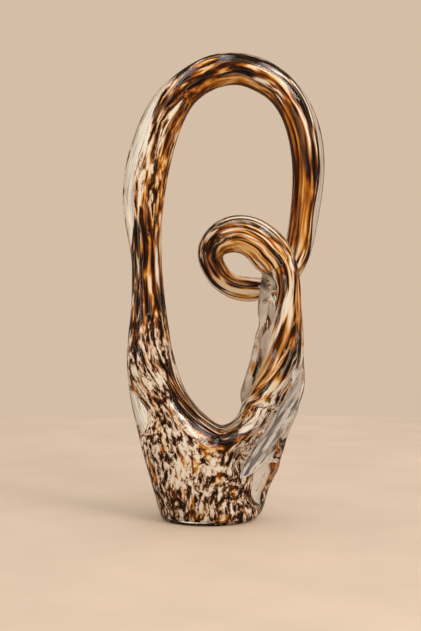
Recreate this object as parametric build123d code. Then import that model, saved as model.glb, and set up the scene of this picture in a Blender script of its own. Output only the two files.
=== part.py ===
from build123d import *
from collections import namedtuple
from math import cos, pi, radians, sin
import os

# Sculpture of solid hot-worked glass, 440 mm high: a ground foot that splits into a drawn-out loop
# and a twisted arm with a curl. Each section has an opal heart, a skin of melted colour chips and a
# clear casing. The origin is the middle of the ground face, +X is to the right and -Y to the front.

# Clear glass outside the colour, and the skin of chips between it and the heart.
FACE_WALL = 5.0
FOOT_WALL = 4.0
LOOP_WALL = 5.5
BULGE_WALL = 9.2
RIM_WALL = 6.6
ARM_WALL = 5.5
FOLD_WALL = 13.0
WINDOW_WALL = 12.5
CURL_WALL = 4.5
CHIP_SKIN = 1.6

# How far the colour sits off centre: to the inside of the loop's bulge and of its right leg, and away
# from the clear fold.
BULGE_SHIFT = 3.6
RIM_SHIFT = 1.3
FOLD_SHIFT = -7.0

# Foot: ground face across, and clear glass under the colour.
FOOT_FLAT = 84.0
FOOT_FLOOR = 4.0

# Lobes of the twisted right arm, its turn in degrees, and its first cuts, which lie level.
FLUTES = 6
FLUTE_DEPTH = 1.6
ARM_TWIST = 170.0
ARM_LEVEL = 4

# Clear fin along the arm's inner edge, and clear fold over the outside of the right stub.
FIN_EDGE = 5.0
FIN_ROOT = 16.0
FOLD_SINK = 3.0
FOLD_REACH = 15.0

# One cut across a section of glass: its middle, its size across the view and front to back, the clear
# glass at each side of the colour, and the colour's shift towards the cut's own side.
Cut = namedtuple("Cut", "x y z width depth wall shift", defaults=(0.0,))

UP = Vector(0, 0, 1)
FRONT_TO_BACK = Vector(0, 1, 0)

LOOP_JOINT = Cut(-54.5, 0, 170.0, 40.4, 42.0, LOOP_WALL)
LEFT_HALF = [
    Cut(0.0, 0, 0.0, FOOT_FLAT, FOOT_FLAT, FOOT_WALL),
    Cut(2.5, 0, 4.0, 93.0, 88.0, FOOT_WALL + 2.5, -2.5),
    Cut(3.6, 0, 20.0, 104.9, 91.0, FOOT_WALL + 10.0, -9.3),
    Cut(4.5, 0, 38.5, 117.0, 89.0, FOOT_WALL + 11.5, -11.0),
    Cut(5.4, 0, 55.0, 128.2, 84.0, FOOT_WALL + 15.0, -14.0),
    Cut(-8.5, 0, 71.0, 109.0, 77.0, WINDOW_WALL, -3.5),
    Cut(-26.0, 0, 87.0, 81.0, 70.0, WINDOW_WALL, 5.0),
    Cut(-38.5, 0, 104.0, 63.9, 62.0, WINDOW_WALL, 6.0),
    Cut(-49.6, 0, 132.5, 50.3, 53.0, LOOP_WALL + 2.0, 1.0),
    Cut(-53.0, 0, 151.0, 46.0, 48.0, LOOP_WALL),
    LOOP_JOINT,
]
ARM_JOINT = Cut(58.7, 0, 104.0, 55.5, 59.0, FOLD_WALL, FOLD_SHIFT)
RIGHT_HALF = [
    Cut(1.0, 0, 10.0, 82.0, 78.0, FOLD_WALL + 4.0, -4.0),
    Cut(3.5, 0, 38.5, 112.0, 86.0, FOLD_WALL + 7.0, -13.0),
    Cut(10.0, 0, 58.0, 120.0, 81.0, FOLD_WALL + 11.0, -13.7),
    Cut(27.7, 0, 76.0, 95.5, 74.0, FOLD_WALL + 9.0, -10.5),
    Cut(50.2, 0, 90.0, 61.5, 66.0, FOLD_WALL + 3.0, -9.5),
    ARM_JOINT,
]
LOOP = [
    LOOP_JOINT,
    Cut(-54.9, 0.4, 188.0, 36.2, 38.0, LOOP_WALL),
    Cut(-55.5, 1, 207.7, 32.0, 34.0, LOOP_WALL),
    Cut(-56.3, 1.5, 228.0, 29.6, 31.8, LOOP_WALL),
    Cut(-57.3, 2, 250.0, 29.0, 31.0, LOOP_WALL),
    Cut(-60.2, 3, 292.3, 38.0, 36.0, BULGE_WALL, BULGE_SHIFT),
    Cut(-57.8, 4, 322.4, 41.0, 38.5, BULGE_WALL, BULGE_SHIFT),
    Cut(-46.0, 6, 367.0, 39.4, 38.0, BULGE_WALL, BULGE_SHIFT),
    Cut(-33.3, 7, 392.4, 36.0, 36.0, LOOP_WALL, BULGE_SHIFT),
    Cut(-14.1, 9, 412.0, 32.0, 33.0, LOOP_WALL),
    Cut(23.5, 11, 426.0, 31.2, 31.0, LOOP_WALL),
    Cut(48.0, 13, 421.0, 31.0, 31.0, LOOP_WALL),
    Cut(71.5, 15, 405.5, 30.5, 30.0, LOOP_WALL),
    Cut(90.8, 18, 371.5, 32.0, 31.0, RIM_WALL, RIM_SHIFT),
    Cut(96.6, 21, 325.2, 30.6, 30.0, RIM_WALL, RIM_SHIFT),
    Cut(92.3, 23, 283.0, 27.6, 28.0, RIM_WALL, RIM_SHIFT),
    Cut(87.9, 23, 259.4, 26.6, 27.0, LOOP_WALL),
    Cut(80.5, 19, 238.5, 24.0, 24.0, LOOP_WALL),
    Cut(72.0, 7, 222.0, 18.0, 18.0, LOOP_WALL),
]
CURL_JOINT = Cut(64.6, -10, 245.3, 36.0, 33.0, CURL_WALL)
ARM = [
    ARM_JOINT,
    Cut(62.0, 0, 114.0, 54.5, 56.0, FOLD_WALL, FOLD_SHIFT),
    Cut(68.0, 0, 132.5, 49.6, 51.0, FOLD_WALL - 3.0, FOLD_SHIFT + 3.0),
    Cut(70.5, 0, 151.0, 43.5, 46.0, ARM_WALL + 1.0),
    Cut(72.2, 0, 170.0, 38.5, 42.0, ARM_WALL),
    Cut(73.2, 0, 189.0, 35.0, 38.0, ARM_WALL),
    Cut(73.6, 0, 207.7, 31.5, 34.0, ARM_WALL),
    Cut(73.2, -2, 221.0, 30.0, 32.0, ARM_WALL),
    Cut(69.9, -5, 234.5, 32.6, 32.0, ARM_WALL),
    CURL_JOINT,
]
CURL = [
    CURL_JOINT,
    Cut(56.6, -14.6, 254.5, 40.0, 33.0, CURL_WALL),
    Cut(48.0, -17, 262.8, 38.5, 33.0, CURL_WALL),
    Cut(31.0, -14, 269.8, 36.0, 32.0, CURL_WALL),
    Cut(11.8, -5, 264.5, 30.5, 27.0, CURL_WALL),
    Cut(3.0, 4, 250.5, 24.5, 23.0, CURL_WALL),
    Cut(7.7, 11, 236.0, 23.2, 23.7, CURL_WALL),
    Cut(16.9, 16, 224.8, 23.0, 21.0, CURL_WALL),
    Cut(31.0, 18, 218.6, 24.5, 21.0, CURL_WALL),
    Cut(46.0, 18, 217.3, 23.5, 20.0, CURL_WALL),
    Cut(58.0, 14, 218.5, 20.0, 18.0, CURL_WALL),
    Cut(68.0, 6, 219.0, 15.0, 14.0, CURL_WALL),
]

# Outer edge of the fin, from its point above the cleft up to the curl, as x, y and z.
FIN = [
    (31.0, -4.0, 112.0),
    (31.5, -5.0, 122.0),
    (40.4, -7.0, 151.0),
    (45.5, -8.0, 175.5),
    (49.0, -9.0, 185.0),
    (47.3, -10.0, 198.0),
    (48.6, -11.0, 214.0),
    (51.5, -13.0, 233.0),
]
# Upper and lower edge of the fold on the glass below it, from the arm's right side down to the front.
FOLD = [
    ((81.1, -18.9, 170.0), (91.2, -5.5, 167.0)),
    ((81.5, -20.5, 151.0), (91.7, -6.5, 148.0)),
    ((79.0, -20.5, 131.0), (90.0, -5.5, 127.0)),
    ((66.0, -27.0, 105.0), (84.0, -9.0, 109.0)),
    ((53.0, -30.0, 86.0), (76.5, -14.5, 90.0)),
    ((41.0, -33.0, 70.0), (65.5, -18.5, 75.0)),
    ((33.0, -37.0, 54.0), (53.0, -27.0, 60.0)),
    ((32.0, -39.0, 46.0), (40.5, -34.5, 49.0)),
]


def inset(cut, layer):
    """Size across, size front to back and shift of a cut's casing, colour or heart."""
    if layer == "casing":
        return cut.width, cut.depth, 0.0
    skin = CHIP_SKIN if layer == "heart" else 0.0
    face = min(cut.wall, FACE_WALL)
    return cut.width - 2 * (cut.wall + skin), cut.depth - 2 * (face + skin), cut.shift


def oval(cut, layer, heading):
    """One oval across the glass, square to its heading."""
    width, depth, shift = inset(cut, layer)
    side = FRONT_TO_BACK.cross(heading).normalized()
    middle = Vector(cut.x, cut.y, cut.z) + side * shift
    return Plane(origin=middle, x_dir=side, z_dir=heading) * Ellipse(width / 2, depth / 2)


def headings(cuts, level=1):
    """Direction of the glass at each cut. The first cuts are level, as their joint is."""
    points = [Vector(cut.x, cut.y, cut.z) for cut in cuts]
    inner = [(points[i + 1] - points[i - 1]).normalized() for i in range(level, len(cuts) - 1)]
    return [UP] * level + inner + [(points[-1] - points[-2]).normalized()]


def half(cuts, layer):
    """Half of the foot with the stub of its arm: level ovals, with the colour kept off the ground face."""
    gap = {"casing": 0.0, "colour": FOOT_FLOOR, "heart": FOOT_FLOOR + CHIP_SKIN}[layer]
    top = cuts[-1].z
    raised = [cut._replace(z=gap + cut.z * (top - gap) / top) for cut in cuts]
    return loft([oval(cut, layer, UP) for cut in raised])


def foot(layer):
    """Foot that splits into the stubs of both arms."""
    return half(LEFT_HALF, layer) + half(RIGHT_HALF, layer)


def rod(cuts, ways, layer):
    """Drawn rod: ovals square to its path."""
    return loft([oval(cut, layer, way) for cut, way in zip(cuts, ways)])


def fluted(cut, heading, share):
    """Cut of the twisted casing: lobes that turn with the share of the arm, and fade at both ends."""
    width, depth, _ = inset(cut, "casing")
    fade = FLUTE_DEPTH * sin(pi * share)
    turn = radians(ARM_TWIST) * share
    points = []
    for step in range(2 * FLUTES):
        angle = pi * step / FLUTES + turn
        dip = fade if step % 2 == 0 else 0.0
        points.append(((width / 2 - dip) * cos(angle), (depth / 2 - dip) * sin(angle)))
    points.append(points[0])
    lobes = [ThreePointArc(*points[i:i + 3]) for i in range(0, 2 * FLUTES, 2)]
    side = FRONT_TO_BACK.cross(heading).normalized()
    plane = Plane(origin=(cut.x, cut.y, cut.z), x_dir=side, z_dir=heading)
    return plane * make_face(lobes)


def fluted_arm(ways):
    """Casing of the twisted arm before the colour is taken out of it."""
    span = CURL_JOINT.z - ARM_JOINT.z
    return loft([fluted(cut, way, (cut.z - ARM_JOINT.z) / span) for cut, way in zip(ARM, ways)])


def corners(points):
    """Flat face through the given corners."""
    return make_face(Polyline(*points, close=True))


def fin():
    """Faceted strip whose root lies in the arm."""
    faces = []
    for x, y, z in FIN:
        half = FIN_EDGE / 2
        edge = [(x, y - half, z), (x, y + half, z)]
        root = [(x + FIN_ROOT, y + FIN_EDGE, z), (x + FIN_ROOT, y - FIN_EDGE, z)]
        faces.append(corners(edge + root))
    return loft(faces, ruled=True)


def fold(rise):
    """Flat-topped band let into the right stub, or with a rise the whole channel that it is let into."""
    faces = []
    for upper, lower in FOLD:
        upper, lower = Vector(*upper), Vector(*lower)
        out = Vector(0, 0, 1).cross(lower - upper).normalized() * -1
        faces.append(corners([upper + out * rise, lower + out * rise,
                              lower - out * FOLD_SINK, upper - out * FOLD_SINK]))
    return loft(faces, ruled=True)


def trimmed(solid, *seats):
    """Solid cut to lie against its seats, without the slivers that the cuts leave loose."""
    for other in seats:
        solid = (solid - other).solids().sort_by(SortBy.VOLUME)[-1]
    return solid


def layers(shape):
    """Casing, colour and heart as three solids that meet face to face."""
    return {"casing": shape["casing"] - shape["colour"],
            "colour": shape["colour"] - shape["heart"],
            "heart": shape["heart"]}


LAYERS = ("casing", "colour", "heart")

foot_shape = {layer: foot(layer) for layer in LAYERS}

arm_ways = headings(ARM[:-1] + CURL[:2], ARM_LEVEL)[:len(ARM)]
arm_shape = {layer: rod(ARM, arm_ways, layer) for layer in ("colour", "heart")}
arm_shape["casing"] = fluted_arm(arm_ways)

curl_ways = [arm_ways[-1]] + headings(CURL)[1:]
curl_shape = {layer: rod(CURL, curl_ways, layer) for layer in LAYERS}

loop_ways = headings(LOOP)
loop_shape = {layer: rod(LOOP, loop_ways, layer) for layer in LAYERS}

# The curl's tip is pressed on to the arm, and the loop's tail on to the arm and the curl.
arm = arm_shape["casing"]
curl = curl_shape["casing"]
nodes = {}
for name, shape, seats in (("foot", foot_shape, []), ("arm", arm_shape, []),
                           ("curl", curl_shape, [arm]), ("loop", loop_shape, [arm, curl])):
    for layer, solid in layers(shape).items():
        nodes[name + "_" + layer] = trimmed(solid, *seats)

nodes["inner_fin"] = trimmed(fin(), foot_shape["casing"], arm, curl)
nodes["outer_fold"] = fold(0.0)
for name in ("foot_casing", "arm_casing"):
    nodes[name] -= fold(FOLD_REACH)

os.makedirs("parts", exist_ok=True)
for name, solid in nodes.items():
    export_step(solid, "parts/" + name + ".step")
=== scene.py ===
import math

import bpy
import numpy as np
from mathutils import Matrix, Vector
from mathutils.bvhtree import BVHTree


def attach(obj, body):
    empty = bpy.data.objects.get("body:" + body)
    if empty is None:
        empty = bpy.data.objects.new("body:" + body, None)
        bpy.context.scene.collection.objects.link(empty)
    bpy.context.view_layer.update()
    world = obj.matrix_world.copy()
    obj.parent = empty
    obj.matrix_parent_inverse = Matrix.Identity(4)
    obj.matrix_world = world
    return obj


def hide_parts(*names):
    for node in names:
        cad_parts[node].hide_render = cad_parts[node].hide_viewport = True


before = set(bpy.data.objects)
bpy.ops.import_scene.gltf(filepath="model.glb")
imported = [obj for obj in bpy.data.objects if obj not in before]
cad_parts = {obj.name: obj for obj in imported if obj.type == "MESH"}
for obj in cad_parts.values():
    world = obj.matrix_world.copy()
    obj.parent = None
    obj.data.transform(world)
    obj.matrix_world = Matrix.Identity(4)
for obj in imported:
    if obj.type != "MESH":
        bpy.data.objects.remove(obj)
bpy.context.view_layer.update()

scene = bpy.context.scene
scene.view_settings.view_transform = "Standard"


# Opal heart: a gather of cream opal glass at the core of the foot and of each rod, drawn out with
# them while hot. It is sealed inside the chip skin, so only its milky bands need showing.
def srgb(red, green, blue):
    """A colour as it is seen on a screen, 0 to 255, as the linear colour that a shader takes."""
    channels = []
    for level in (red, green, blue):
        share = level / 255
        channels.append(share / 12.92 if share <= 0.04045 else ((share + 0.055) / 1.055) ** 2.4)
    return (*channels, 1.0)


class Wire:
    """One output of a shader node. Sums on it add Math nodes to its finish."""

    def __init__(self, finish, socket):
        self.finish = finish
        self.socket = socket

    def maths(self, operation, first, second):
        return self.finish.node("ShaderNodeMath", {"operation": operation}, {0: first, 1: second})

    def __add__(self, other):
        return self.maths("ADD", self, other)

    def __sub__(self, other):
        return self.maths("SUBTRACT", self, other)

    def __rsub__(self, other):
        return self.maths("SUBTRACT", other, self)

    def __mul__(self, other):
        return self.maths("MULTIPLY", self, other)

    def __truediv__(self, other):
        return self.maths("DIVIDE", self, other)

    __radd__ = __add__
    __rmul__ = __mul__


class Finish:
    """A finish of the sculpture: a material, or the light around it, made of shader nodes."""

    def __init__(self, owner):
        owner.use_nodes = True
        self.owner = owner
        self.tree = owner.node_tree
        self.tree.nodes.clear()

    def node(self, kind, settings=None, sockets=None, output=0):
        made = self.tree.nodes.new(kind)
        for name, value in (settings or {}).items():
            if name == "stops":
                ramp = made.color_ramp
                while len(ramp.elements) < len(value):
                    ramp.elements.new(0.5)
                for stop, (place, colour) in zip(ramp.elements, value):
                    stop.position = place
                    stop.color = colour
            else:
                setattr(made, name, value)
        for name, value in (sockets or {}).items():
            if isinstance(value, Wire):
                self.tree.links.new(value.socket, made.inputs[name])
            else:
                made.inputs[name].default_value = value
        return Wire(self, made.outputs[output]) if len(made.outputs) else made

    def blend(self, share, first, second):
        """A colour between two others."""
        return self.node("ShaderNodeMix", {"data_type": "RGBA"}, {0: share, 6: first, 7: second}, 2)

    def step(self, value, low, high):
        """0 below low, 1 above high, and a soft edge between."""
        return self.node("ShaderNodeMapRange", {"interpolation_type": "SMOOTHSTEP"},
                         {"Value": value, "From Min": low, "From Max": high})

    def noise(self, place, scale, detail=2.0, rough=0.5, output=0):
        return self.node("ShaderNodeTexNoise", {"noise_dimensions": "3D"},
                         {"Vector": place, "Scale": scale, "Detail": detail, "Roughness": rough}, output)

    def stretch(self, place, scales):
        """A place measured finer or coarser along each axis."""
        return self.node("ShaderNodeVectorMath", {"operation": "MULTIPLY"}, {0: place, 1: scales})

    def end(self, surface):
        self.node("ShaderNodeOutputMaterial", {}, {"Surface": surface})
        return self.owner


CREAM = srgb(240, 214, 188)
TAN = srgb(190, 155, 122)

opal = Finish(bpy.data.materials.new("opal_glass"))
opal_place = opal.node("ShaderNodeTexCoord", {}, {}, "Object")
opal_bands = opal.noise(opal.stretch(opal_place, (1, 1, 0.3)), 60, 3)
opal_colour = opal.blend(opal.step(opal_bands, 0.4, 0.62), CREAM, TAN)
opal_glass = opal.end(opal.node("ShaderNodeBsdfPrincipled", {}, {
    "Base Color": opal_colour, "Roughness": 0.6, "Specular IOR Level": 0.0}))
for heart in ("foot_heart", "loop_heart", "arm_heart", "curl_heart"):
    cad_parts[heart].data.materials.clear()
    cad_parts[heart].data.materials.append(opal_glass)


# Chip skin: crushed amber, brown and near-black glass rolled on to the opal gather, then melted in
# and drawn out, so the chips are flecks on the foot and long streaks along the rods.
def copy_of(names, called):
    """Copies of CAD nodes, joined into one mesh with its doubles merged, under a new name."""
    bpy.ops.object.select_all(action="DESELECT")
    copies = []
    for name in names:
        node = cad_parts[name]
        copy = bpy.data.objects.new(called, node.data.copy())
        scene.collection.objects.link(copy)
        copy.select_set(True)
        copies.append(copy)
    bpy.context.view_layer.objects.active = copies[0]
    if len(copies) > 1:
        bpy.ops.object.join()
    piece = bpy.context.view_layer.objects.active
    piece.name = called
    piece.data.name = called
    piece.data.materials.clear()
    bpy.ops.object.mode_set(mode="EDIT")
    bpy.ops.mesh.select_all(action="SELECT")
    bpy.ops.mesh.remove_doubles(threshold=2e-6)
    bpy.ops.object.mode_set(mode="OBJECT")
    return piece


def finish_with(piece, kind, **settings):
    """Adds a modifier to a piece and applies it."""
    bpy.ops.object.select_all(action="DESELECT")
    piece.select_set(True)
    bpy.context.view_layer.objects.active = piece
    made = piece.modifiers.new(kind.lower(), kind)
    for name, value in settings.items():
        setattr(made, name, value)
    bpy.ops.object.modifier_apply(modifier=made.name)


def melt(piece, grain, smoothing):
    """Fuses a joined copy into one closed skin, as heat does: remeshed, laid back on the copy's own
    surface, and smoothed a little where the parts meet."""
    surface = bpy.data.objects.new("surface", piece.data.copy())
    scene.collection.objects.link(surface)
    finish_with(piece, "REMESH", mode="VOXEL", voxel_size=grain, adaptivity=0.0,
                use_smooth_shade=True)
    finish_with(piece, "SHRINKWRAP", target=surface, wrap_method="NEAREST_SURFACEPOINT")
    finish_with(piece, "SMOOTH", factor=0.5, iterations=smoothing)
    bpy.data.objects.remove(surface)


def flame_polish(piece, shares, passes):
    """Smooths a piece where the shares, one for each vertex, are over 0."""
    touched = piece.vertex_groups.new(name="touched")
    for corner in np.flatnonzero(shares > 0.01):
        touched.add([int(corner)], float(shares[corner]), "REPLACE")
    finish_with(piece, "SMOOTH", factor=0.5, iterations=passes, vertex_group="touched")
    piece.vertex_groups.clear()


def ease(value, low, high):
    """0 below low, 1 above high, and a soft edge between."""
    share = np.clip((value - low) / (high - low), 0, 1)
    return share * share * (3 - 2 * share)


def how_far(places, name):
    """How far each place is from the surface of a CAD node."""
    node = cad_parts[name].data
    tree = BVHTree.FromPolygons([corner.co for corner in node.vertices],
                                [tuple(face.vertices) for face in node.polygons])
    return np.array([tree.find_nearest(place)[3] for place in places])


def points_of(piece):
    """Where the vertices of a piece are."""
    places = np.empty(len(piece.data.vertices) * 3)
    piece.data.vertices.foreach_get("co", places)
    return places.reshape(-1, 3)


CLEFT_BOTTOM = (0.014, 0.086)
CLEFT_REACH = (0.010, 0.040)


def cleft_share(piece):
    """1 in the bottom of the cleft between the two legs, fading out round it."""
    places = points_of(piece)
    away = np.hypot(places[:, 0] - CLEFT_BOTTOM[0], places[:, 2] - CLEFT_BOTTOM[1])
    return 1 - ease(away, *CLEFT_REACH)


def keep_with(piece, name, values):
    """Keeps three numbers with each vertex, for the material to read."""
    kept = piece.data.attributes.new(name, "FLOAT_VECTOR", "POINT")
    kept.data.foreach_set("vector", np.ascontiguousarray(values, dtype=np.float32).ravel())


LINE_STEPS = 24


def smooth_line(stations):
    """A smooth line through a rod's stations, column by column (place, chip length, tones)."""
    knots = np.array(stations, float)
    ends = np.vstack([2 * knots[0] - knots[1], knots, 2 * knots[-1] - knots[-2]])
    line = []
    for a, b, c, d in zip(ends[:-3], ends[1:-2], ends[2:-1], ends[3:]):
        for t in np.arange(LINE_STEPS) / LINE_STEPS:
            line.append(b + 0.5 * t * (c - a + t * (2 * a - 5 * b + 4 * c - d
                                                   + t * (3 * (b - c) + d - a))))
    line.append(knots[-1])
    return np.array(line)


def nearest_on(line, places):
    """Which point of a line each place is nearest to."""
    nearest = np.empty(len(places), int)
    for first in range(0, len(places), 4000):
        block = places[first:first + 4000, None, :] - line[None]
        nearest[first:first + 4000] = np.argmin((block ** 2).sum(2), axis=1)
    return nearest


def along_rod(piece, stations, start, used=slice(0, None), turn=0.0, turn_end=1):
    """Straightens a rod: how far along and across it each vertex is, counted in chips. Only the used
    part of the line counts, and the chips wind round the rod up to the end of its turn."""
    line = smooth_line(stations)
    spine = line[:, :3] / 1000
    heading = np.gradient(spine, axis=0)
    heading /= np.linalg.norm(heading, axis=1, keepdims=True)
    side = np.cross((0, 1, 0), heading)
    side /= np.linalg.norm(side, axis=1, keepdims=True)
    face = np.cross(heading, side)
    steps = np.linalg.norm(np.diff(spine, axis=0), axis=1)
    chip, width = line[:, 3] / 1000, line[:, 4] / 1000
    run = start + np.concatenate([[0], np.cumsum(steps * 2 / (chip[1:] + chip[:-1]))])
    places = points_of(piece)
    nearest = used.start + nearest_on(spine[used], places)
    away = places - spine[nearest]
    along = run[nearest] + (away * heading[nearest]).sum(1) / chip[nearest]
    across = (away * side[nearest]).sum(1) / width[nearest]
    front = (away * face[nearest]).sum(1) / width[nearest]
    angle = turn * (1 - (1 - np.minimum(nearest / turn_end, 1)) ** 1.7)
    keep_with(piece, "flow", np.column_stack([
        along, across * np.cos(angle) - front * np.sin(angle),
        across * np.sin(angle) + front * np.cos(angle)]))
    lean = line[nearest, 8] * across * width[nearest] / 0.012
    keep_with(piece, "tone", np.column_stack([
        line[nearest, 5] - 0.20 * lean, line[nearest, 6] + lean, line[nearest, 7] - 0.5 * lean]))
    keep_with(piece, "drawn", np.column_stack([ease(chip[nearest], 0.006, 0.030)] * 3))


# Chips on the foot: length and width in mm, the shares of dark, amber and cream, and what the
# lowest part of the foot adds to them.
FOOT_CHIP = (7.0, 3.4)
FOOT_TONE = (0.43, 0.45, 0.57)
LOW_TONE = (0.03, 0.0, -0.10)
LEG_CHIP = 14.0
CLEFT = ((-39, 170), (-34, 143), (-28, 127), (-16, 109), (-4, 97), (8, 88.4), (14, 85), (20, 87.4),
         (32, 95.3), (40, 106))
CLEFT_BAND = 9.0
CLEFT_CHIP = (34.0, 2.6)
CLEFT_TONE = (0.47, 0.52, 0.30)
CLEFT_EDGE = 0.35
# Pinch in the foot that winds the chips up into a swirl: x, z and reach in mm, and how far it turns.
PINCH = (37, 50, 16)
PINCH_TURN = -2.4
# Gather of chips on the foot: x, z, reach in mm, and what it adds to the dark, amber and cream.
GATHERS = ((-40, 56, 13, 0.10, 0.0, -0.05), (-40, 23, 17, 0.12, 0.0, -0.05),
           (-11, 52, 18, -0.10, 0.0, 0.12), (16, 76, 10, 0.14, 0.15, -0.05),
           (17, 38, 12, 0.08, 0.0, 0.0), (-45, 150, 18, 0.0, 0.0, 0.02),
           (-40, 118, 11, 0.08, 0.10, 0.0), (44, 94, 16, -0.10, 0.0, 0.16))
# Station of a rod: x, y, z, chip length and chip width in mm, shares of dark, amber and cream, and
# how much more amber gathers on one side of the rod.
LOOP_STATIONS = (
    (-54.5, 0, 170, 14, 3.4, 0.45, 0.52, 0.52, 0.1), (-55.5, 1, 207.7, 24, 3.6, 0.57, 0.78, 0.24, 0.15),
    (-57.3, 2, 250, 28, 3.5, 0.56, 0.80, 0.26, 0.15), (-60.2, 3, 292.3, 18, 3.7, 0.44, 0.66, 0.46, 0.2),
    (-57.8, 4, 322.4, 15, 3.8, 0.43, 0.66, 0.48, 0.2), (-46, 6, 367, 18, 3.6, 0.45, 0.66, 0.46, 0.2),
    (-33.3, 7, 392.4, 18, 3.7, 0.50, 0.70, 0.40, 0.3), (-14.1, 9, 412, 20, 3.8, 0.54, 0.72, 0.38, 0.4),
    (23.5, 11, 426, 22, 3.8, 0.56, 0.70, 0.36, 0.4), (48, 13, 421, 24, 3.7, 0.56, 0.74, 0.35, 0.4),
    (71.5, 15, 405.5, 30, 3.6, 0.52, 0.76, 0.32, 0.3), (90.8, 18, 371.5, 40, 3.4, 0.49, 0.95, 0.12, 0.2),
    (96.6, 21, 325.2, 46, 3.4, 0.48, 1.00, 0.10, 0.2), (92.3, 23, 283, 46, 3.4, 0.49, 0.98, 0.12, 0.2),
    (87.9, 23, 259.4, 42, 3.2, 0.49, 0.85, 0.25, 0.1), (80.5, 19, 238.5, 40, 3.0, 0.47, 0.65, 0.4, 0),
    (72, 7, 222, 40, 3.0, 0.47, 0.65, 0.4, 0))
ARM_STATIONS = (
    (58.7, 0, 104, 7, 3.4, 0.38, 0.45, 0.62, 0), (62, 0, 114, 14, 3.6, 0.36, 0.55, 0.64, -0.15),
    (68, 0, 132.5, 30, 3.4, 0.40, 0.70, 0.52, -0.25), (70.5, 0, 151, 50, 3.2, 0.44, 0.80, 0.45, -0.2),
    (72.2, 0, 170, 60, 3.2, 0.44, 0.85, 0.45, 0), (73.2, 0, 189, 64, 3.2, 0.44, 0.85, 0.45, 0),
    (73.6, 0, 207.7, 60, 3.0, 0.44, 0.80, 0.45, 0), (73.2, -2, 221, 44, 2.8, 0.44, 0.80, 0.45, 0),
    (69.9, -5, 234.5, 42, 2.8, 0.44, 0.80, 0.45, 0), (64.6, -10, 245.3, 40, 2.8, 0.44, 0.80, 0.45, 0))
CURL_STATIONS = (
    (56.6, -14.6, 254.5, 50, 2.8, 0.45, 0.85, 0.45, 0),
    (48, -17, 262.8, 50, 2.8, 0.43, 0.78, 0.50, -0.25), (31, -14, 269.8, 50, 2.8, 0.43, 0.78, 0.50, -0.35),
    (11.8, -5, 264.5, 48, 2.8, 0.49, 0.74, 0.46, -0.35), (3, 4, 250.5, 45, 2.8, 0.58, 0.75, 0.36, -0.4),
    (7.7, 11, 236, 42, 2.8, 0.56, 0.75, 0.38, -0.4), (16.9, 16, 224.8, 40, 2.8, 0.53, 0.75, 0.40, -0.4),
    (31, 18, 218.6, 40, 2.8, 0.47, 0.72, 0.44, -0.3), (46, 18, 217.3, 40, 2.8, 0.39, 0.75, 0.48, 0),
    (58, 14, 218.5, 40, 2.8, 0.42, 0.60, 0.45, 0), (68, 6, 219, 40, 2.8, 0.44, 0.60, 0.45, 0))
ARM_TWIST = math.radians(-150)
CORE_GRAIN = 0.0013
# Tone of the cream threads, which also serve as a painted highlight along the casing's ridges.
THREAD_AND_RIDGE_SHINE_TONE = srgb(252, 234, 206)

chips = Finish(bpy.data.materials.new("chip_glass"))
flow = chips.node("ShaderNodeAttribute", {"attribute_name": "flow"}, {}, "Vector")
tone = chips.node("ShaderNodeAttribute", {"attribute_name": "tone"}, {}, "Vector")
dark_share = chips.node("ShaderNodeSeparateXYZ", {}, {0: tone}, 0)
amber_share = chips.node("ShaderNodeSeparateXYZ", {}, {0: tone}, 1)
cream_share = chips.node("ShaderNodeSeparateXYZ", {}, {0: tone}, 2)
drawn = chips.node("ShaderNodeSeparateXYZ", {}, {0: chips.node(
    "ShaderNodeAttribute", {"attribute_name": "drawn"}, {}, "Vector")}, 0)
drift = chips.noise(flow, 0.35, 2, 0.5, "Color")
drifted = chips.node("ShaderNodeVectorMath", {"operation": "MULTIPLY_ADD"},
                     {0: drift, 1: (1.6, 2.2, 2.2), 2: flow})
clump = chips.noise(drifted, 0.30, 2, 0.5)
fleck = chips.noise(drifted, 0.85, 5, 0.70 - 0.30 * drawn)
level = fleck + 0.30 * (clump - 0.5) - 0.5
calm = chips.step(amber_share, 0.82, 1.02)
level = (0.5 + level * (1 + 0.06 * drawn - 0.45 * calm) + 0.34 * (dark_share - 0.40)
         - 0.16 * (cream_share - 0.45) - 0.015 * calm)
plain_chip = chips.node("ShaderNodeValToRGB", {"stops": (
    (0.37, srgb(253, 244, 230)), (0.45, srgb(247, 226, 200)), (0.485, srgb(206, 168, 132)),
    (0.51, srgb(140, 89, 52)), (0.535, srgb(77, 41, 19)), (0.58, srgb(32, 17, 9)),
    (0.70, srgb(20, 11, 7)))}, {0: level})
amber_chip = chips.node("ShaderNodeValToRGB", {"stops": (
    (0.37, srgb(252, 230, 196)), (0.44, srgb(241, 199, 134)), (0.475, srgb(225, 153, 56)),
    (0.515, srgb(188, 107, 28)), (0.555, srgb(124, 61, 16)), (0.60, srgb(62, 28, 9)),
    (0.72, srgb(28, 13, 7)))}, {0: level})
honey = chips.noise(chips.stretch(drifted, (0.7, 1, 1)), 0.42, 2, 0.5)
amber_edge = 0.70 - 0.36 * amber_share
chip_colour = chips.blend(chips.step(honey, amber_edge, amber_edge + 0.10), plain_chip, amber_chip)
# Thin cream threads drawn along the rods: partly real cream streaks, partly a painted highlight for the
# shine along the casing's ridges.
thread_and_shine_noise = chips.noise(chips.stretch(drifted, (0.12, 0.8, 0.8)), 0.7, 2, 0.5)
thread_and_ridge_shine = chips.step(thread_and_shine_noise.maths("ABSOLUTE", thread_and_shine_noise - 0.5, 0), 0.022, 0.004)
chip_colour = chips.blend(thread_and_ridge_shine * 0.7 * cream_share * drawn, chip_colour, THREAD_AND_RIDGE_SHINE_TONE)
chip_glass = chips.end(chips.node("ShaderNodeBsdfPrincipled", {}, {
    "Base Color": chip_colour, "Roughness": 0.6, "Specular IOR Level": 0.0}))

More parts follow.
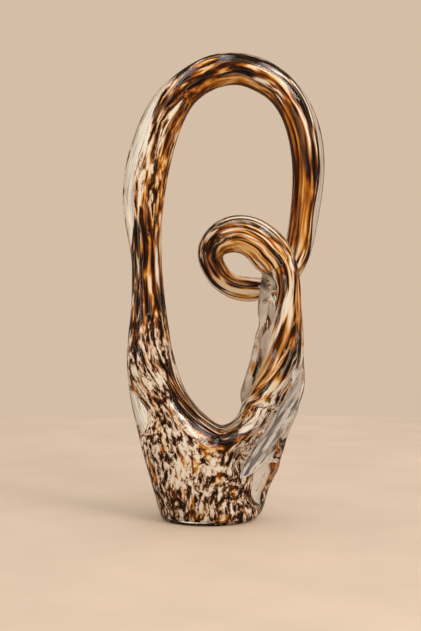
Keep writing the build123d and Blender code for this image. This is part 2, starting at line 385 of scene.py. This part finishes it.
# Each face of the drawn core belongs to the part whose CAD skin is nearest. A face that has mostly
# another part's faces round it goes over to that part, so the cuts have no stray faces.
OWN_VOTE = 1.5
ROUNDS = 40
PARTS = ("foot", "loop", "arm", "curl")
core = copy_of([part + layer for part in PARTS for layer in ("_colour", "_heart")], "core")
melt(core, CORE_GRAIN, 6)
flame_polish(core, cleft_share(core), 60)
middles = [face.center.copy() for face in core.data.polygons]
owner = np.argmin([how_far(middles, part + "_colour") for part in PARTS], axis=0)
face_edges = np.empty(len(core.data.loops), int)
core.data.loops.foreach_get("edge_index", face_edges)
touching = np.argsort(face_edges, kind="stable").reshape(-1, 2) // 4
one_vote = np.eye(len(PARTS))
for settling in range(ROUNDS):
    votes = OWN_VOTE * one_vote[owner]
    np.add.at(votes, touching[:, 0], one_vote[owner[touching[:, 1]]])
    np.add.at(votes, touching[:, 1], one_vote[owner[touching[:, 0]]])
    owner = np.argmax(votes, axis=1)


def chip_skin(part):
    """The part's own length of the drawn core, cut off at its joints and closed there."""
    skin = bpy.data.objects.new(part + "_chip_skin", core.data.copy())
    scene.collection.objects.link(skin)
    bpy.ops.object.select_all(action="DESELECT")
    skin.select_set(True)
    bpy.context.view_layer.objects.active = skin
    bpy.ops.object.mode_set(mode="EDIT")
    bpy.ops.mesh.select_mode(type="FACE")
    bpy.ops.mesh.select_all(action="DESELECT")
    bpy.ops.object.mode_set(mode="OBJECT")
    skin.data.polygons.foreach_set("select", owner != PARTS.index(part))
    bpy.ops.object.mode_set(mode="EDIT")
    bpy.ops.mesh.delete(type="FACE")
    bpy.ops.mesh.select_all(action="SELECT")
    bpy.ops.mesh.fill_holes(sides=0)
    bpy.ops.mesh.select_all(action="DESELECT")
    bpy.ops.mesh.select_face_by_sides(number=4, type="GREATER")
    bpy.ops.mesh.poke()
    bpy.ops.mesh.select_all(action="SELECT")
    bpy.ops.mesh.normals_make_consistent(inside=False)
    bpy.ops.object.mode_set(mode="OBJECT")
    bpy.ops.object.shade_smooth_by_angle(angle=math.radians(50))
    skin.data.materials.append(chip_glass)
    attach(skin, "root")
    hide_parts(part + "_colour")
    return skin


def foot_chip(height):
    """Length of a chip on the foot, which is drawn out up the left leg."""
    return (FOOT_CHIP[0] + (LEG_CHIP - FOOT_CHIP[0]) * ease(height, 0.10, 0.17)) / 1000


def foot_run(height):
    """How many chips lie below a height."""
    levels = np.linspace(-0.05, 0.20, 1001)
    counted = np.cumsum((levels[1] - levels[0]) / foot_chip(levels))
    return np.interp(height, levels, counted - np.interp(0.0, levels, counted))


foot_skin = chip_skin("foot")
places = points_of(foot_skin)
aside = places[:, [0, 2]] - np.array(PINCH[:2]) / 1000
wound = PINCH_TURN * np.exp(-(aside ** 2).sum(1) / (PINCH[2] / 1000) ** 2)
wound *= ease(-places[:, 1], 0.0, 0.025)
across = PINCH[0] / 1000 + aside[:, 0] * np.cos(wound) - aside[:, 1] * np.sin(wound)
height = PINCH[1] / 1000 + aside[:, 0] * np.sin(wound) + aside[:, 1] * np.cos(wound)
left_lean = -0.0545 * ease(height, 0.05, 0.175)
right_lean = 0.0587 * ease(height, 0.03, 0.108)
lean = left_lean + (right_lean - left_lean) * ease(across, -0.02, 0.045)
foot_flow = np.column_stack([foot_run(height), (across - lean) * 1000 / FOOT_CHIP[1],
                             places[:, 1] * 1000 / FOOT_CHIP[1]])
cleft = smooth_line(CLEFT)
cleft_run = np.concatenate([[0], np.cumsum(np.linalg.norm(np.diff(cleft, axis=0), axis=1))])
flat = places[:, [0, 2]] * 1000
by_cleft = nearest_on(cleft, flat)
gap = np.linalg.norm(flat - cleft[by_cleft], axis=1)
run = cleft_run[by_cleft]
reach = CLEFT_BAND * ease(run, 0, 60) * (1 - ease(run, cleft_run[-1] - 32, cleft_run[-1] - 6))
foot_flow[gap < reach] = np.column_stack([
    run / CLEFT_CHIP[0], gap / CLEFT_CHIP[1], places[:, 1] * 1000 / CLEFT_CHIP[1]])[gap < reach]
keep_with(foot_skin, "flow", foot_flow)
low = 1 - ease(places[:, 2], 0.0, 0.05)
foot_tone = np.array(FOOT_TONE) + low[:, None] * np.array(LOW_TONE)
for gather in GATHERS:
    share = np.exp(-((flat - gather[:2]) ** 2).sum(1) / gather[2] ** 2)
    foot_tone += share[:, None] * np.array(gather[3:])
band = (1 - ease(gap, reach - 1, reach + 3)) * ease(reach, 0, 4)
edge = np.exp(-((gap - reach) / 1.4) ** 2) * ease(reach, 0, 4)
foot_tone += band[:, None] * (np.array(CLEFT_TONE) - foot_tone)
foot_tone[:, 0] += CLEFT_EDGE * edge
keep_with(foot_skin, "tone", foot_tone)
pulled = np.maximum(0.8 * band, ease(foot_chip(places[:, 2]), 0.006, 0.030))
keep_with(foot_skin, "drawn", np.column_stack([pulled] * 3))
along_rod(chip_skin("loop"), LOOP_STATIONS, foot_run(0.170))
arm_end = LINE_STEPS * (len(ARM_STATIONS) - 1)
along_rod(chip_skin("arm"), ARM_STATIONS + CURL_STATIONS, foot_run(0.104),
          slice(0, arm_end + LINE_STEPS), ARM_TWIST, arm_end)
along_rod(chip_skin("curl"), ARM_STATIONS + CURL_STATIONS, foot_run(0.104),
          slice(arm_end - LINE_STEPS, None), ARM_TWIST, arm_end)
bpy.data.objects.remove(core)


# Clear casing: thick clear glass gathered over the colour, shaped by hand and fire-polished. The
# foot, loop, arm, curl, fin and fold are fused hot into one skin, so no seam shows between them.
CASING_GRAIN = 0.0016
FADE = 0.004
CLEAR = (0.985, 0.98, 0.97, 1)
# The grey tints, film tones and edge tone below are painted shade, painted reflection and painted
# highlight on the fold and the fin.
FOLD_SHADE_TINT = (0.40, 0.39, 0.39, 1)
THIN_FOLD_SHADE_TINT = (0.66, 0.64, 0.62, 1)
FOLD_RUN = (0.59, 0.81)
FILM_TOP = (0.112, 0.160)
REFLECTION_FILM_GREY = srgb(96, 93, 92)
REFLECTION_FILM_PALE = srgb(214, 204, 194)
EDGE_HIGHLIGHT_TONE = srgb(242, 234, 224)
FIN_SHADE_TINT = (0.84, 0.82, 0.80, 1)
FIN_REFLECTION_FILM = srgb(206, 192, 176)
FIN_FACET = (110, 110, 50)
FIN_TILT = 1.0
casing = copy_of(("foot_casing", "loop_casing", "arm_casing", "curl_casing", "inner_fin",
                  "outer_fold", "foot_colour", "loop_colour", "arm_colour", "curl_colour",
                  "foot_heart", "loop_heart", "arm_heart", "curl_heart"), "clear_casing")
melt(casing, CASING_GRAIN, 8)
corners = [corner.co.copy() for corner in casing.data.vertices]
on_fin = 1 - ease(how_far(corners, "inner_fin"), 0.0003, 0.0018)
on_fold = 1 - ease(how_far(corners, "outer_fold"), 0.0, FADE)
flame_polish(casing, 1 - np.maximum(on_fin, on_fold), 14)
flame_polish(casing, cleft_share(casing), 60)
flat = points_of(casing)[:, [0, 2]] * 1000
gap = np.linalg.norm(flat - cleft[nearest_on(cleft, flat)], axis=1)
flame_polish(casing, (1 - ease(gap, 14, 30)) * (1 - np.maximum(on_fin, on_fold)), 30)
places = points_of(casing)
filmed = 1 - ease(how_far(corners, "outer_fold"), 0.0004, 0.0020)
thinned = 1 - ease(places[:, 2], *FILM_TOP)
keep_with(casing, "tooled", np.column_stack([on_fin, on_fold * (0.4 + 0.6 * thinned), filmed * thinned]))
keep_with(casing, "grain", np.column_stack([
    0.12 * (places[:, 0] * FOLD_RUN[0] + places[:, 2] * FOLD_RUN[1]),
    places[:, 0] * FOLD_RUN[1] - places[:, 2] * FOLD_RUN[0], places[:, 1]]))
clear = Finish(bpy.data.materials.new("clear_glass"))
clear_place = clear.node("ShaderNodeTexCoord", {}, {}, "Object")
tooled = clear.node("ShaderNodeAttribute", {"attribute_name": "tooled"}, {}, "Vector")
grain = clear.node("ShaderNodeAttribute", {"attribute_name": "grain"}, {}, "Vector")
fin_mark = clear.node("ShaderNodeSeparateXYZ", {}, {0: tooled}, 0)
fold_mark = clear.node("ShaderNodeSeparateXYZ", {}, {0: tooled}, 1)
relief = 0.0004 * clear.noise(clear_place, 60, 1) + 0.0009 * fold_mark * clear.noise(grain, 190, 2)
polish = clear.node("ShaderNodeBump", {}, {"Strength": 1.0, "Distance": 1.0, "Height": relief})
facet = clear.node("ShaderNodeTexVoronoi", {}, {
    "Vector": clear.stretch(clear_place, FIN_FACET), "Scale": 1.0}, "Color")
tilt = clear.node("ShaderNodeVectorMath", {"operation": "SUBTRACT"}, {0: facet, 1: (0.5, 0.5, 0.5)})
tilted = clear.node("ShaderNodeVectorMath", {"operation": "MULTIPLY_ADD"},
                    {0: tilt, 1: FIN_TILT * fin_mark, 2: polish})
cut_face = clear.node("ShaderNodeVectorMath", {"operation": "NORMALIZE"}, {0: tilted})
# Painted shade: the glass of the fold is tinted grey in streaks, and the fin's glass a lighter grey, for
# the darker room seen through them.
shade_streaks = clear.step(clear.noise(clear_place, 120, 2), 0.42, 0.60)
streaked_shade_tint = clear.blend(shade_streaks, FOLD_SHADE_TINT, THIN_FOLD_SHADE_TINT)
glass_tint = clear.blend(fin_mark, clear.blend(fold_mark, CLEAR, streaked_shade_tint), FIN_SHADE_TINT)
glass = clear.node("ShaderNodeBsdfPrincipled", {}, {
    "Base Color": glass_tint, "Roughness": 0.0, "IOR": 1.5,
    "Transmission Weight": 1.0, "Normal": cut_face})
# Painted reflection and shade: a matt film over the fold and the fin, grey with pale streaks, stands for
# the room tones the glass shows there.
film_lines = clear.noise(clear.stretch(grain, (1, 1, 0.3)), 260, 3, 0.65)
reflection_film_tone = clear.blend(clear.step(film_lines, 0.46, 0.60), REFLECTION_FILM_GREY, REFLECTION_FILM_PALE)
reflection_film_tone = clear.blend(fin_mark, reflection_film_tone, FIN_REFLECTION_FILM)
film_mark = clear.node("ShaderNodeSeparateXYZ", {}, {0: tooled}, 2)
film_gap = clear.step(clear.noise(clear.stretch(grain, (1, 1, 0.3)), 95, 2), 0.36, 0.56)
# Painted highlight: a near-white line along the edges of the film, in broken lengths.
edge_highlight = clear.step(film_mark, 0.10, 0.35) * clear.step(film_mark, 0.90, 0.60) * film_gap
reflection_film_tone = clear.blend(edge_highlight, reflection_film_tone, EDGE_HIGHLIGHT_TONE)
painted_reflection_film = clear.node("ShaderNodeBsdfPrincipled", {}, {
    "Base Color": reflection_film_tone, "Roughness": 0.2, "Normal": cut_face})
fin_faces = clear.step(clear.noise(clear.stretch(clear_place, (1, 1, 0.6)), 95, 0), 0.44, 0.56)
reflection_film_body = film_mark * (0.36 + 0.44 * film_gap) + 0.30 * edge_highlight
reflection_film_share = reflection_film_body.maths("MAXIMUM", reflection_film_body, 0.55 * fin_mark * fin_faces)
clear_glass = clear.end(clear.node("ShaderNodeMixShader", {}, {0: reflection_film_share, 1: glass, 2: painted_reflection_film}))
casing.data.materials.append(clear_glass)
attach(casing, "root")
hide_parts("foot_casing", "loop_casing", "arm_casing", "curl_casing", "inner_fin",
            "outer_fold")


# Floor and light: a pale matt floor, with painted shade where it is seen in reflections, under soft
# studio light from all round, a large soft lamp high on the right, and the same pale tone behind the glass
# as the floor has.
FLOOR_TONE = srgb(228, 204, 180)
BACK_TONE = srgb(213, 190, 167)
ROOM_TONE = srgb(70, 58, 48)
GREY_TONE = srgb(208, 190, 170)
PALE_TONE = srgb(246, 230, 208)
MARK_TONE = srgb(132, 114, 99)
# Dark tone seen in reflections: the dark room in the world, and painted shade on the floor where it is
# mirrored.
REFLECTED_SHADE_TONE = srgb(104, 88, 74)
PANE_SHINE = (2.6, 2.6, 2.7, 1)
STRIP_SHINE = (2.4, 2.45, 2.6, 1)
ROOM_LIGHT = (0.95, 0.93, 0.90, 1)
LIGHT_IN_GLASS = (1.75, 1.70, 1.62, 1)
FLOOR_REACH = 0.9
bpy.ops.object.select_all(action="DESELECT")
bpy.ops.mesh.primitive_circle_add(vertices=96, radius=FLOOR_REACH, fill_type="NGON",
                                  location=(0, 0, 0))
floor = bpy.context.view_layer.objects.active
floor.name = "floor"
matt = Finish(bpy.data.materials.new("pale_floor"))
floor_place = matt.node("ShaderNodeTexCoord", {}, {}, "Object")
floor_mottle = matt.noise(floor_place, 9, 4)
floor_tone = matt.blend(matt.step(floor_mottle, 0.0, 1.0), FLOOR_TONE, BACK_TONE)
# Painted shade: in a reflection, the floor shows a dark tone instead of its own pale one.
floor_shade_in_reflection = (matt.node("ShaderNodeLightPath", {}, {}, "Is Glossy Ray")
                  * (1 - matt.node("ShaderNodeLightPath", {}, {}, "Is Transmission Ray")))
floor.data.materials.append(matt.end(matt.node("ShaderNodeBsdfPrincipled", {}, {
    "Base Color": matt.blend(floor_shade_in_reflection, floor_tone, REFLECTED_SHADE_TONE),
    "Roughness": 0.7, "Specular IOR Level": 0.2})))

world = bpy.data.worlds.new("studio")
scene.world = world
room = Finish(world)
seen = room.node("ShaderNodeLightPath", {}, {}, "Diffuse Depth")
camera_ray = room.node("ShaderNodeLightPath", {}, {}, "Is Camera Ray")
toward = room.node("ShaderNodeTexCoord", {}, {}, "Generated")
across_room = room.node("ShaderNodeSeparateXYZ", {}, {0: toward}, 0)
into_room = room.node("ShaderNodeSeparateXYZ", {}, {0: toward}, 1)
up_room = room.node("ShaderNodeSeparateXYZ", {}, {0: toward}, 2)
depth = into_room.maths("ABSOLUTE", into_room, 0)
backdrop = room.blend(room.step(depth, 0.40, 0.48), ROOM_TONE, BACK_TONE)
walls = room.blend(room.step(across_room, -0.08, 0.08), GREY_TONE, PALE_TONE)
wall_marks = room.step(room.noise(room.stretch(toward, (1, 1, 0.4)), 16, 2), 0.48, 0.58)
walls = room.blend(0.6 * wall_marks, walls, MARK_TONE)
backdrop = room.blend(room.step(depth, 0.66, 0.76), backdrop, walls)
backdrop = room.blend(room.step(depth, 0.92, 0.99), backdrop, BACK_TONE)


def between(value, low, high, soft=0.10):
    """1 between low and high, with soft edges."""
    return room.step(value, low - soft, low + soft) * room.step(value, high + soft, high - soft)


rise = up_room.maths("MAXIMUM", up_room, 0.05)
over = between(into_room / rise, -1.0, 0.2) * room.step(up_room, 0.3, 0.4)
ahead = across_room / rise
panes = (between(ahead, -0.72, -0.36, 0.06) + between(ahead, -0.10, 0.10, 0.06)
         + between(ahead, 0.46, 0.82, 0.06))
left = (-1 * across_room).maths("MAXIMUM", -1 * across_room, 0.05)
strip = between(into_room / left, -0.95, -0.6, 0.14) * between(up_room / left, 0.1, 0.8, 0.14)
mirror = room.blend(over * panes, REFLECTED_SHADE_TONE, PANE_SHINE)
mirror = room.blend(strip, mirror, STRIP_SHINE)
glossy = room.node("ShaderNodeLightPath", {}, {}, "Is Glossy Ray")
through = room.node("ShaderNodeLightPath", {}, {}, "Is Transmission Ray")
backdrop = room.blend(glossy * (1 - through), backdrop, mirror)
backdrop = room.blend(camera_ray, backdrop, BACK_TONE)
lit = room.blend(through, ROOM_LIGHT, LIGHT_IN_GLASS)
light = room.blend(seen.maths("LESS_THAN", seen, 0.5), lit, backdrop)
room.node("ShaderNodeOutputWorld", {}, {"Surface": room.node(
    "ShaderNodeBackground", {}, {"Color": light, "Strength": 1.0})})


def soft_lamp(name, place, aim, size, watts, tint):
    """A large flat lamp that looks at a point."""
    lamp = bpy.data.objects.new(name, bpy.data.lights.new(name, "AREA"))
    lamp.data.shape = "RECTANGLE"
    lamp.data.size, lamp.data.size_y = size
    lamp.data.energy = watts
    lamp.data.color = tint
    lamp.location = place
    lamp.rotation_euler = (Vector(aim) - Vector(place)).to_track_quat("-Z", "Y").to_euler()
    scene.collection.objects.link(lamp)


soft_lamp("key_lamp", (0.9, -1.0, 1.3), (0, 0, 0.2), (0.6, 0.8), 9, (1, 0.96, 0.9))


# Camera: level with the middle of the loop and tipped down a little, on a long lens, so that the
# whole sculpture stands upright in the picture.
camera = bpy.data.objects.new("camera", bpy.data.cameras.new("camera"))
camera.data.lens = 84.7
camera.data.sensor_width = 36
camera.location = (0.0033, -1.4, 0.255)
camera.rotation_euler = (math.radians(90 - 2.53), 0, 0)
scene.collection.objects.link(camera)
scene.camera = camera
